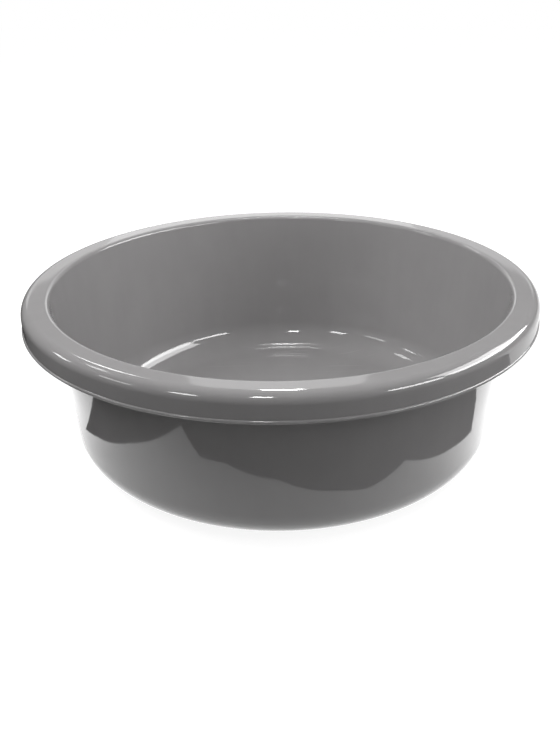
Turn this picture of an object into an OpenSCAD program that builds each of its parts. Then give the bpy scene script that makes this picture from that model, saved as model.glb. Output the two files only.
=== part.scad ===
/* [Bowl] */
// Outside diameter, over the lip of the rim
bowl_d = 380; // [320:5:440]
// Height from the table to the top of the rim
bowl_h = 127; // [110:1:160]
// Thickness of the wall and of the panel in the base
wall_t = 2; // [1.6:0.1:3]
// Lean of the side wall away from vertical, in degrees
draft_deg = 5.8; // [4:0.2:10]
// Outside radius of the corner between the base and the wall
corner_r = 29; // [20:1:45]

/* [Rim] */
// Width of the rim, from the wall's outer face to the lip
rim_w = 18.3; // [16:0.1:26]
// Depth of the skirt that hangs from the rim
skirt_h = 18.9; // [14:0.1:26]
// Thickness of the skirt
skirt_t = 1.8; // [1.6:0.1:3]
// Outside radius where the rim's top rolls over into the skirt
roll_r = 7.2; // [5:0.2:9]
// Radius of the rim's inner edge
inner_edge_r = 3.2; // [1:0.1:4]
// Radius in the root of the finger channel, between the wall and the rim's top
root_r = 2; // [0.6:0.1:3]
// Radius of the round bead along the lip
bead_r = 1.3; // [1.1:0.1:1.6]
// How far the bead stands out of the skirt
bead_out = 0.8; // [0.2:0.1:0.9]

/* [Base] */
// Width of the flat ring that the bowl stands on
foot_w = 12; // [6:1:20]
// Depth of the shallow recess inside the standing ring
recess_h = 0.8; // [0.4:0.1:1.5]
// Slope of the recess's edge, in degrees from flat
recess_slope = 30; // [20:5:60]
// Diameter of the round gate mark in the middle of the recess
gate_d = 8; // [4:1:14]
// Height of the gate mark
gate_h = 0.3; // [0.1:0.1:0.3]

/* [Hidden] */
// A step along an arc of the profile is no longer than this, in millimetres
arc_chord = 3;
// and turns no further than this, in degrees
arc_turn = 15;

lean = tan(draft_deg);
// Outer radius of the wall, where its face would meet the rim's top
wall_top_r = bowl_d / 2 - rim_w;
wall_foot_r = wall_top_r - bowl_h * lean;
inside_foot_r = wall_foot_r - wall_t / cos(draft_deg);
floor_z = recess_h + wall_t;
inside_corner_r = corner_r - wall_t;
skirt_r = bowl_d / 2 - bead_out;
lip_z = bowl_h - skirt_h;
rim_under_z = bowl_h - wall_t;
// Angle at which the bead's round meets the skirt's outer face
bead_end = acos(1 - bead_out / bead_r);
base_r = tangent_r(wall_foot_r, 0, corner_r);
recess_r = base_r - foot_w;

// Centre radius of an arc that blends a wall's face into a level surface. r is
// positive for an arc above the level and inside the face, and negative for one
// below the level and outside the face.
function tangent_r(foot_r, level, r) = foot_r + (sin(draft_deg) * (level + r) - r) / cos(draft_deg);
// Points of an arc about [x, z], from angle a0 to angle a1
function arc(x, z, r, a0, a1) =
    let (turn = abs(a1 - a0), steps = ceil(max(turn / arc_turn, r * turn * PI / 180 / arc_chord)))
    [for (i = [0:steps]) let (a = a0 + (a1 - a0) * i / steps) [x + r * cos(a), z + r * sin(a)]];

// Under the base: the recess, then the ring that the bowl stands on
underside = [
    [0, recess_h],
    [recess_r - recess_h / tan(recess_slope), recess_h],
    [recess_r, 0]
];
// Up the outside: the bottom corner and the wall, to the root of the finger channel
outside = concat(
    arc(base_r, corner_r, corner_r, -90, -draft_deg),
    arc(tangent_r(wall_foot_r, rim_under_z, -root_r), rim_under_z - root_r, root_r, 180 - draft_deg, 90)
);
// Inside the channel, down the skirt's inner face to the lip
channel = concat(
    arc(skirt_r - roll_r, bowl_h - roll_r, roll_r - skirt_t, 90, 0),
    [[skirt_r - skirt_t, lip_z + bead_r]]
);
// Round the bead, up the skirt and over the rim to the inner edge
rim = concat(
    arc(bowl_d / 2 - bead_r, lip_z + bead_r, bead_r, -180, bead_end),
    arc(skirt_r - roll_r, bowl_h - roll_r, roll_r, 0, 90),
    arc(tangent_r(inside_foot_r, bowl_h, -inner_edge_r), bowl_h - inner_edge_r, inner_edge_r, 90, 180 - draft_deg)
);
// Down the inside wall and round its corner to the floor
inside = concat(
    arc(tangent_r(inside_foot_r, floor_z, inside_corner_r), floor_z + inside_corner_r, inside_corner_r,
        -draft_deg, -90),
    [[0, floor_z]]
);

// The whole bowl is one moulding: a turned shell with the gate mark under its base
module bowl() {
    color("gray") {
        rotate_extrude($fn = 180) polygon(concat(underside, outside, channel, rim, inside));
        translate([0, 0, recess_h - gate_h]) cylinder(h = gate_h + wall_t / 2, d = gate_d, $fn = 48);
    }
}

bowl();
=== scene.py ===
import math

import bpy
from mathutils import Matrix, Vector


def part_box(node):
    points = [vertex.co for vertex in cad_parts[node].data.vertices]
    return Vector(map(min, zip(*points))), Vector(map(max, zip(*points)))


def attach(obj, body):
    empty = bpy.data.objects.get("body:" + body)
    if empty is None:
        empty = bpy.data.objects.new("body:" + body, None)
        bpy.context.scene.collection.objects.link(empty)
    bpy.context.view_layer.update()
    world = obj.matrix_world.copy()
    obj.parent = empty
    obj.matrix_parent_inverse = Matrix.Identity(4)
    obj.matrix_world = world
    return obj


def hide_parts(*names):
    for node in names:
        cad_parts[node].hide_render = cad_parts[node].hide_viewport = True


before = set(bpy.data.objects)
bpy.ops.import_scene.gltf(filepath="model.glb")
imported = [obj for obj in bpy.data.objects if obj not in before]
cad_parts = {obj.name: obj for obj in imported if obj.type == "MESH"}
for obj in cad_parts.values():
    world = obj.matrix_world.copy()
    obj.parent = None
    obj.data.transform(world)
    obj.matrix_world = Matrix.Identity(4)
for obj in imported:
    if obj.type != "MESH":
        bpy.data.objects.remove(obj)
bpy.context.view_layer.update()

# The bowl is one injection moulding in grey polypropylene: base, side wall and a rim that rolls
# over into a skirt. It leaves the mould with a polished face, a round gate mark under its middle,
# and a matt standing ring that rubs on whatever it is put down on.
MM = 0.001
low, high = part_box("bowl")
bowl_r = min(high.x, high.y, -low.x, -low.y)
bowl_h = high.z - low.z
wall_t = 2 * MM
draft = math.radians(5.8)
corner_r = 29 * MM
rim_w = 18.3 * MM
skirt_h = 18.9 * MM
skirt_t = 1.8 * MM
roll_r = 7.2 * MM
inner_edge_r = 3.2 * MM
root_r = 2 * MM
bead_r = 1.3 * MM
bead_out = 0.8 * MM
foot_w = 12 * MM
recess_h = 0.8 * MM
recess_slope = math.radians(30)
gate_r = 4 * MM
gate_h = 0.3 * MM
gate_edge = 0.1 * MM
# The turned mesh: steps round the bowl, and the longest and sharpest step along an arc
turn_steps = 320
arc_chord = 1.5 * MM
arc_turn = math.radians(5)

wall_foot_r = bowl_r - rim_w - bowl_h * math.tan(draft)
inside_foot_r = wall_foot_r - wall_t / math.cos(draft)
floor_z = recess_h + wall_t
inside_corner_r = corner_r - wall_t
skirt_r = bowl_r - bead_out
lip_z = bowl_h - skirt_h
rim_under_z = bowl_h - wall_t
roll_centre = Vector((skirt_r - roll_r, 0, bowl_h - roll_r))
bead_centre = Vector((bowl_r - bead_r, 0, lip_z + bead_r))
half_turn, quarter_turn = math.pi, math.pi / 2


def blend_centre(foot_r, level, radius):
    """Centre of an arc between a leaning face and a level one, above the level if radius is positive."""
    reach = (math.sin(draft) * (level + radius) - radius) / math.cos(draft)
    return Vector((foot_r + reach, 0, level + radius))


class Profile:
    """Draws the bowl's section in the open mesh, from the end of what is drawn so far."""

    def __init__(self, radius, height):
        self.end = Vector((radius, 0, height))
        bpy.ops.mesh.primitive_plane_add(size=wall_t, location=self.end)
        self.piece = bpy.context.object
        bpy.ops.object.mode_set(mode="EDIT")
        bpy.ops.mesh.select_all(action="SELECT")
        bpy.ops.mesh.merge(type="CENTER")
        # The section is drawn in the bowl's own frame from here on
        bpy.ops.object.mode_set(mode="OBJECT")
        bpy.ops.object.transform_apply(location=True)
        bpy.ops.object.mode_set(mode="EDIT")

    def line(self, radius, height, steps=1):
        """A straight run to a point."""
        step = (Vector((radius, 0, height)) - self.end) / steps
        for _ in range(steps):
            bpy.ops.mesh.extrude_region_move(TRANSFORM_OT_translate={"value": step})
        self.end = Vector((radius, 0, height))

    def arc(self, centre, start, stop):
        """A round from angle start to angle stop about a centre, counted from level outwards up."""
        radius = (self.end - centre).length
        turn = stop - start
        steps = math.ceil(max(abs(turn) / arc_turn, abs(turn) * radius / arc_chord))
        bpy.ops.mesh.spin(steps=steps, angle=abs(turn), center=centre, axis=(0, math.copysign(1, turn), 0))
        self.end = centre + radius * Vector((math.cos(stop), 0, math.sin(stop)))


bpy.ops.object.select_all(action="DESELECT")
outer_corner = blend_centre(wall_foot_r, 0, corner_r)
recess_r = outer_corner.x - foot_w
section = Profile(0, recess_h - gate_h)
section.line(gate_r - gate_edge, recess_h - gate_h)
section.line(gate_r, recess_h)
section.line(recess_r - recess_h / math.tan(recess_slope), recess_h, steps=3)
section.line(recess_r, 0)
section.line(outer_corner.x, 0, steps=2)
section.arc(outer_corner, -quarter_turn, -draft)

root = blend_centre(wall_foot_r, rim_under_z, -root_r)
wall_end = root - root_r * Vector((math.cos(draft), 0, -math.sin(draft)))
section.line(wall_end.x, wall_end.z, steps=4)
section.arc(root, half_turn - draft, quarter_turn)
section.line(roll_centre.x, rim_under_z)
section.arc(roll_centre, quarter_turn, 0)
section.line(skirt_r - skirt_t, bead_centre.z)
section.line(bead_centre.x - bead_r, bead_centre.z)
section.arc(bead_centre, -half_turn, math.acos(1 - bead_out / bead_r))
section.line(skirt_r, roll_centre.z)
section.arc(roll_centre, 0, quarter_turn)

inner_edge = blend_centre(inside_foot_r, bowl_h, -inner_edge_r)
section.line(inner_edge.x, bowl_h, steps=3)
section.arc(inner_edge, quarter_turn, half_turn - draft)
inside_corner = blend_centre(inside_foot_r, floor_z, inside_corner_r)
wall_start = inside_corner + inside_corner_r * Vector((math.cos(draft), 0, -math.sin(draft)))
section.line(wall_start.x, wall_start.z, steps=4)
section.arc(inside_corner, -draft, -quarter_turn)
section.line(0, floor_z, steps=5)

bpy.ops.mesh.select_all(action="SELECT")
bpy.ops.mesh.spin(steps=turn_steps, angle=math.tau, center=(0, 0, 0), axis=(0, 0, 1))
bpy.ops.mesh.select_all(action="SELECT")
bpy.ops.mesh.remove_doubles(threshold=0.001 * MM)
bpy.ops.mesh.normals_make_consistent(inside=False)
bpy.ops.object.mode_set(mode="OBJECT")
bpy.ops.object.shade_smooth_by_angle(angle=recess_slope / 2)
bowl = section.piece
bowl.name = bowl.data.name = "washing_up_bowl"


class Wire:
    """A socket in a material. Arithmetic on wires and numbers adds Math nodes."""

    def __init__(self, socket):
        self.socket = socket

    @staticmethod
    def node(tree, kind, settings=None, inputs=None, output=0):
        """Adds a node, makes its settings, then sets or links its inputs, and returns one output."""
        made = tree.nodes.new("ShaderNode" + kind)
        for name, value in (settings or {}).items():
            setattr(made, name, value)
        for name, value in (inputs or {}).items():
            if isinstance(value, Wire):
                tree.links.new(value.socket, made.inputs[name])
            else:
                made.inputs[name].default_value = value
        return Wire(made.outputs[output])

    def math(self, operation, *values):
        tree = self.socket.id_data
        return Wire.node(tree, "Math", {"operation": operation}, dict(enumerate(values)))

    def __add__(self, other):
        return self.math("ADD", self, other)

    __radd__ = __add__

    def __sub__(self, other):
        return self.math("SUBTRACT", self, other)

    def __rsub__(self, other):
        return self.math("SUBTRACT", other, self)

    def __mul__(self, other):
        return self.math("MULTIPLY", self, other)

    __rmul__ = __mul__

    def __truediv__(self, other):
        return self.math("DIVIDE", self, other)

    def __pow__(self, other):
        return self.math("POWER", self, other)

    @classmethod
    def ramp(cls, tree, value, start, stop, low=0.0, high=1.0, kind="SMOOTHSTEP"):
        """Runs from low to high as the value runs from start to stop."""
        return cls.node(tree, "MapRange", {"interpolation_type": kind},
                        {"Value": value, "From Min": start, "From Max": stop, "To Min": low, "To Max": high})

    @classmethod
    def noise(cls, tree, vector, size, detail=2.0):
        """Even noise between about 0 and 1 whose patches are about this size."""
        return cls.node(tree, "TexNoise", inputs={"Vector": vector, "Scale": 1 / size, "Detail": detail})

    @classmethod
    def blend(cls, tree, factor, first, second):
        """A colour between two colours. A Mix node's colour sockets have only their numbers apart."""
        colour_a, colour_b, colour_out = 6, 7, 2
        return cls.node(tree, "Mix", {"data_type": "RGBA"},
                        {0: factor, colour_a: first, colour_b: second}, output=colour_out)


def new_material(name):
    """A new material and its node tree."""
    material = bpy.data.materials.new(name)
    material.use_nodes = True
    return material, material.node_tree


# The plastic is dyed right through. Its colour flows outwards from the gate, and the pigment shows
# as a fine speckle. The mould is polished, so only long, low waves disturb the shine.
darker_grey = (0.285, 0.278, 0.281, 1)
lighter_grey = (0.345, 0.338, 0.339, 1)
rubbed_grey = (0.46, 0.45, 0.448, 1)
plastic, tree = new_material("glossy_grey_plastic")
shader = tree.nodes["Principled BSDF"]
shader.inputs["IOR"].default_value = 1.5
place = Wire.node(tree, "TexCoord", output="Object")
x, y, z = [Wire.node(tree, "SeparateXYZ", inputs={0: place}, output=axis) for axis in "XYZ"]
radius = (x * x + y * y) ** 0.5
mottle = Wire.noise(tree, place, 28 * MM, detail=3.0)
speckle = Wire.noise(tree, place, 0.5 * MM, detail=1.0)
# The melt ran from the gate over the base and up the wall: streaks along that way, narrow across it
streaks_round = 14
streak_length = 60 * MM
from_gate = radius + 2 * MM
flow_way = Wire.node(tree, "CombineXYZ", inputs={
    "X": x / from_gate * streaks_round,
    "Y": y / from_gate * streaks_round,
    "Z": (radius + z) / streak_length,
})
flow = Wire.noise(tree, flow_way, 1.0, detail=3.0)
mottle_share, flow_share, speckle_share, darker = 0.45, 0.35, 0.3, 0.05
tint = mottle * mottle_share + flow * flow_share + speckle * speckle_share - darker
dyed = Wire.blend(tree, tint, darker_grey, lighter_grey)

# Crockery leaves hairlines on the inside floor, each fine, long and a little curved
floor_edge = inside_corner.x + inside_corner_r * 0.4
near_floor = Wire.ramp(tree, z, floor_z + 12 * MM, floor_z + 1 * MM)
not_under = Wire.ramp(tree, z, 1.4 * MM, 2.2 * MM)
on_floor = near_floor * not_under * Wire.ramp(tree, radius, floor_edge + 8 * MM, floor_edge)
hairline_from, hairline_to = 0.69, 0.73
hairlines = 0.0
for turn, length, gap in ((12, 150, 2.2), (68, 110, 2.8), (131, 130, 2.5)):
    along = Wire.node(tree, "Mapping", inputs={
        "Vector": place,
        "Rotation": (0, 0, math.radians(turn)),
        "Scale": (1 / (length * MM), 1 / (gap * MM), 1),
    })
    strand = Wire.node(tree, "TexNoise", inputs={
        "Vector": along,
        "Scale": 1.0,
        "Detail": 1.0,
        "Distortion": 0.25,
    })
    hairlines = Wire.ramp(tree, strand, hairline_from, hairline_to) + hairlines
worn_patch = Wire.ramp(tree, Wire.noise(tree, place, 45 * MM), 0.42, 0.6)
hairlines = hairlines * on_floor * worn_patch

# The standing ring and the lip's bead are what rubs on worktops and hands
patchy = Wire.noise(tree, place, 7 * MM, detail=4.0)
standing = Wire.ramp(tree, z, 0.9 * MM, 0.1 * MM)
bead_rub = Wire.ramp(tree, radius, bowl_r - 0.35 * MM, bowl_r) * Wire.ramp(tree, patchy, 0.45, 0.7)
rubbed = Wire.ramp(tree, patchy, 0.35, 0.6) * standing * 0.8 + bead_rub * 0.35
rubbed = rubbed + hairlines * 0.25
colour = Wire.blend(tree, rubbed, dyed, rubbed_grey)
tree.links.new(colour.socket, shader.inputs["Base Color"])

# Under the base the mould is only turned, not polished: fine rings and a satin face
under_base = Wire.ramp(tree, radius, recess_r, recess_r - 2 * MM) * Wire.ramp(tree, z, 1.6 * MM, 1.1 * MM)
polished = 0.055
roughness = mottle * 0.02 + polished + rubbed * 0.3 + standing * 0.2 + under_base * 0.22
tree.links.new(roughness.socket, shader.inputs["Roughness"])
wave_h, peel_h, ring_h, hairline_h = 0.05 * MM, 0.0008 * MM, 0.006 * MM, 0.004 * MM
ring_gap = 0.8 * MM
waves = Wire.noise(tree, place, 34 * MM, detail=1.0) * wave_h
peel = Wire.noise(tree, place, 1.6 * MM, detail=1.0) * peel_h
rings = radius.math("SINE", radius * (math.tau / ring_gap)) * under_base * ring_h
height = waves + peel + rings - hairlines * hairline_h
relief = Wire.node(tree, "Bump", inputs={"Height": height, "Distance": 1.0, "Strength": 1.0})
tree.links.new(relief.socket, shader.inputs["Normal"])
bowl.data.materials.clear()
bowl.data.materials.append(plastic)

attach(bowl, "root")
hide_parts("bowl")

# The camera stands close in front of the bowl and above it, and looks about 26 degrees down.
# Its lens points a little to the right of the picture's middle, which the shift allows for.
photo_w, photo_h = 560, 744
principal_px = 318.2
lens_mm, sensor_mm = 41.44, 36
camera_at = Vector((0, -0.6096, 0.3466))
looks_at = Vector((0.0266, 0, 0.0482))
camera_data = bpy.data.cameras.new("camera")
camera_data.lens = lens_mm
camera_data.sensor_width = sensor_mm
camera_data.shift_x = (photo_w / 2 - principal_px) / photo_h
camera = bpy.data.objects.new("camera", camera_data)
bpy.context.scene.collection.objects.link(camera)
aim = (looks_at - camera_at).to_track_quat("-Z", "Y").to_matrix().to_4x4()
camera.matrix_world = Matrix.Translation(camera_at) @ aim
bpy.context.scene.camera = camera


def seen_rays(tree, in_reflections=1.0):
    """1 for what the camera sees straight or through something, and 0 for rays that only light."""
    path = tree.nodes.new("ShaderNodeLightPath")
    seen = Wire(path.outputs["Is Camera Ray"]) + Wire(path.outputs["Is Glossy Ray"]) * in_reflections
    return seen + Wire(path.outputs["Is Transmission Ray"])


# The floor is a plain white sheet that runs out of sight. It takes the bowl's soft shadow, and its
# glow is turned down a little close to the bowl, as painted shade for the bowl's own shade.
bpy.ops.mesh.primitive_plane_add(size=8)
floor = bpy.context.object
floor.name = "floor"
floor_material, tree = new_material("white_sheet")
tree.nodes.remove(tree.nodes["Principled BSDF"])
place = Wire.node(tree, "TexCoord", output="Object")
away = Wire.node(tree, "VectorMath", {"operation": "LENGTH"}, {0: place}, output="Value")
# Painted shade: the glow runs from 0.88 within 0.15 m of the bowl's middle up to full white 0.6 m out
glow_with_painted_shade = Wire.ramp(tree, away, 0.15, 0.6, 0.88, 1.0, kind="LINEAR")
paper = Wire.node(tree, "BsdfDiffuse", inputs={"Color": (0.3, 0.3, 0.3, 1)})
glow = Wire.node(tree, "Emission", inputs={"Color": (1, 1, 1, 1), "Strength": seen_rays(tree) * glow_with_painted_shade})
look = Wire.node(tree, "AddShader", inputs={0: paper, 1: glow})
tree.links.new(look.socket, tree.nodes["Material Output"].inputs["Surface"])
floor.data.materials.append(floor_material)

# The tent round the bowl is white to the eye. Its cloth is dim in the bowl's reflections, and what
# shines there are the lit cards and panels below.
world = bpy.data.worlds.new("studio")
bpy.context.scene.world = world
world.use_nodes = True
tree = world.node_tree
cloth_shine = 0.2
tree.links.new(seen_rays(tree, cloth_shine).socket, tree.nodes["Background"].inputs["Strength"])
tree.nodes["Background"].inputs["Color"].default_value = (1, 1, 1, 1)


def card(name, outline):
    """A flat card that only the bowl's reflections see, with its glow left to the caller."""
    bpy.ops.object.select_all(action="DESELECT")
    bpy.ops.mesh.primitive_circle_add(vertices=len(outline), fill_type="NGON")
    made = bpy.context.object
    made.name = made.data.name = name
    for corner, point in zip(made.data.vertices, outline):
        corner.co = point
    made.visible_camera = made.visible_diffuse = made.visible_shadow = made.visible_transmission = False
    material, tree = new_material(name)
    tree.nodes.remove(tree.nodes["Principled BSDF"])
    glow = Wire.node(tree, "Emission", inputs={"Color": (1, 1, 1, 1)})
    tree.links.new(glow.socket, tree.nodes["Material Output"].inputs["Surface"])
    made.data.materials.append(material)
    return tree, glow.socket.node.inputs["Strength"]


# A dark card lies in front of the bowl and on its left, and a bright sheet with a ragged edge lies
# round its foot. The polished side shows both, and their edge is the line that runs across it.
front_edge, left_edge, far = -0.02, -0.26, 3
card_z, sheet_z = 0.5 * MM, 1 * MM
dark_outline = ((-far, -far), (far, -far), (far, front_edge),
                (left_edge, front_edge), (left_edge, far), (-far, far))
tree, strength = card("front_card", [(x, y, card_z) for x, y in dark_outline])
strength.default_value = 0
focal_px = lens_mm / sensor_mm * photo_h


def floor_behind(picture_x, picture_y):
    """The floor point that the camera sees at this place in the picture, off the side wall's cone."""
    sight = aim.to_3x3() @ Vector((picture_x - principal_px, photo_h / 2 - picture_y, -focal_px))
    # The cone's radius is wall_foot_r + z * slope, so the sight line meets it where a quadratic is 0
    slope = math.tan(draft)
    start_r, gain = wall_foot_r + camera_at.z * slope, sight.z * slope
    a = sight.xy.length_squared - gain ** 2
    b = camera_at.xy.dot(sight.xy) - start_r * gain
    c = camera_at.xy.length_squared - start_r ** 2
    on_wall = camera_at + sight * ((-b - math.sqrt(b * b - a * c)) / a)
    outwards = on_wall.xy.normalized() * math.cos(draft)
    bounce = sight.reflect(Vector((outwards.x, outwards.y, -math.sin(draft))))
    return (on_wall - bounce * (on_wall.z / bounce.z)).xy


# The corners of that line as the picture shows them, from left to right
line_px = ((93, 400), (86, 430), (98, 438), (130, 444), (181, 426), (200, 458), (226, 464), (279, 481),
           (337, 492.5), (368, 490), (405, 461), (453, 448), (471, 432), (473, 420), (476, 400))
sheet_left, sheet_right, sheet_back = -0.275, 0.32, 0.12
left_front, right_front = -0.058, -0.04
sheet_outline = [(sheet_left, sheet_back), (sheet_left, left_front)]
sheet_outline += [tuple(floor_behind(*corner)) for corner in line_px]
sheet_outline += [(sheet_right, right_front), (sheet_right, sheet_back)]
tree, strength = card("bright_sheet", [(x, y, sheet_z) for x, y in sheet_outline])
place = Wire.node(tree, "TexCoord", output="Object")
across = Wire.node(tree, "SeparateXYZ", inputs={0: place}, output="X")
nearer = Wire.node(tree, "SeparateXYZ", inputs={0: place}, output="Y")
# Painted light and shade: the sheet's glow is weakest along its front edge, stronger behind it and strongest
# out to the right and left, standing in for lamp light on the sheet with the bowl's shadow keeping its
# middle dimmer
front = Wire.ramp(tree, nearer, -0.215, -0.16, 1.0, 1.45, kind="LINEAR")
right = Wire.ramp(tree, across, 0.12, 0.21, 0.0, 1.1)
left = Wire.ramp(tree, across, -0.17, -0.225, 0.0, 0.8)
tree.links.new((front + right + left).socket, strength)


def panel(name, tone, place, width, height, faces=(0, 0, bowl_h)):
    """A bright panel that faces the bowl and shows only in its reflections."""
    place = Vector(place)
    turn = (place - Vector(faces)).to_track_quat("Z", "Y")
    half_w, half_h = width / 2, height / 2
    corners = [place + turn @ Vector((x, y, 0)) for x, y in
               ((-half_w, -half_h), (half_w, -half_h), (half_w, half_h), (-half_w, half_h))]
    tree, strength = card(name, corners)
    strength.default_value = tone


# The tent's lit panels, each placed where a highlight on the rim or in the inside corner comes from:
# small lamps overhead and in front, long strips on the right and behind, and short ones on the left.
panel("overhead_strip", 26, (-0.005, 0.155, 0.44), 0.032, 0.02)
panel("rim_strip", 45, (-0.003, 0.135, 0.42), 0.05, 0.12, faces=(-0.003, -1, 0.42))
panel("overhead_glow", 3, (-0.01, 0.153, 0.441), 0.07, 0.025)
panel("front_key", 34, (-0.05, -0.35, 0.381), 0.045, 0.05)
panel("right_strip", 16, (0.8, 0.05, 0.48), 0.86, 0.16)
panel("right_glow", 9, (0.8, 0.05, 0.68), 0.86, 0.24)
panel("right_front_strip", 16, (0.8, -0.66, 0.46), 0.44, 0.16)
panel("front_left", 16, (-0.52, -0.645, 0.55), 0.15, 0.12)
panel("left_low", 6, (-0.69, -0.32, 0.38), 0.2, 0.08)
panel("left_high", 8, (-0.66, 0.21, 0.8), 0.16, 0.1)
panel("left_side", 10, (-0.70, 0.05, 0.36), 0.12, 0.08)
panel("left_back", 10, (-0.42, 0.8, 0.8), 0.12, 0.2)
panel("back_window", 1.4, (-0.02, 1.6, 1.12), 0.52, 0.75)
panel("backdrop", 1.0, (-0.05, 1.62, 0.54), 2.2, 0.3)
panel("backdrop_middle", 1.7, (-0.05, 1.6, 0.54), 0.8, 0.3)


def lamp(name, azimuth, elevation, distance, size, power):
    """A soft square lamp, unseen, that faces the bowl. Azimuth 0 is the camera's side, 90 the right."""
    data = bpy.data.lights.new(name, "AREA")
    data.size, data.energy = size, power
    made = bpy.data.objects.new(name, data)
    bpy.context.scene.collection.objects.link(made)
    a, e = math.radians(azimuth), math.radians(elevation)
    way = Vector((math.sin(a) * math.cos(e), -math.cos(a) * math.cos(e), math.sin(e)))
    turn = way.to_track_quat("Z", "Y").to_matrix().to_4x4()
    made.matrix_world = Matrix.Translation(Vector((0, 0, bowl_h)) + distance * way) @ turn
    made.visible_camera = made.visible_glossy = False


# Seven soft lamps bring out the plastic's own grey. They are strongest from the two sides, which
# leaves the inside of the back wall a little darker than the sides.
lamp("high_front", 0, 65, 1.0, 0.5, 2.0)
lamp("fill_near", 180, 88, 0.5, 0.3, 0.6)
lamp("fill_front", 0, 40, 1.0, 0.7, 1.6)
lamp("fill_left", -100, 40, 1.0, 0.7, 7.6)
lamp("fill_right", 100, 40, 1.0, 0.7, 4.6)
lamp("low_front", 0, 12, 1.0, 0.5, 0.3)
lamp("low_right", 80, 12, 1.0, 0.5, 3.0)

bpy.context.scene.view_settings.view_transform = "Standard"
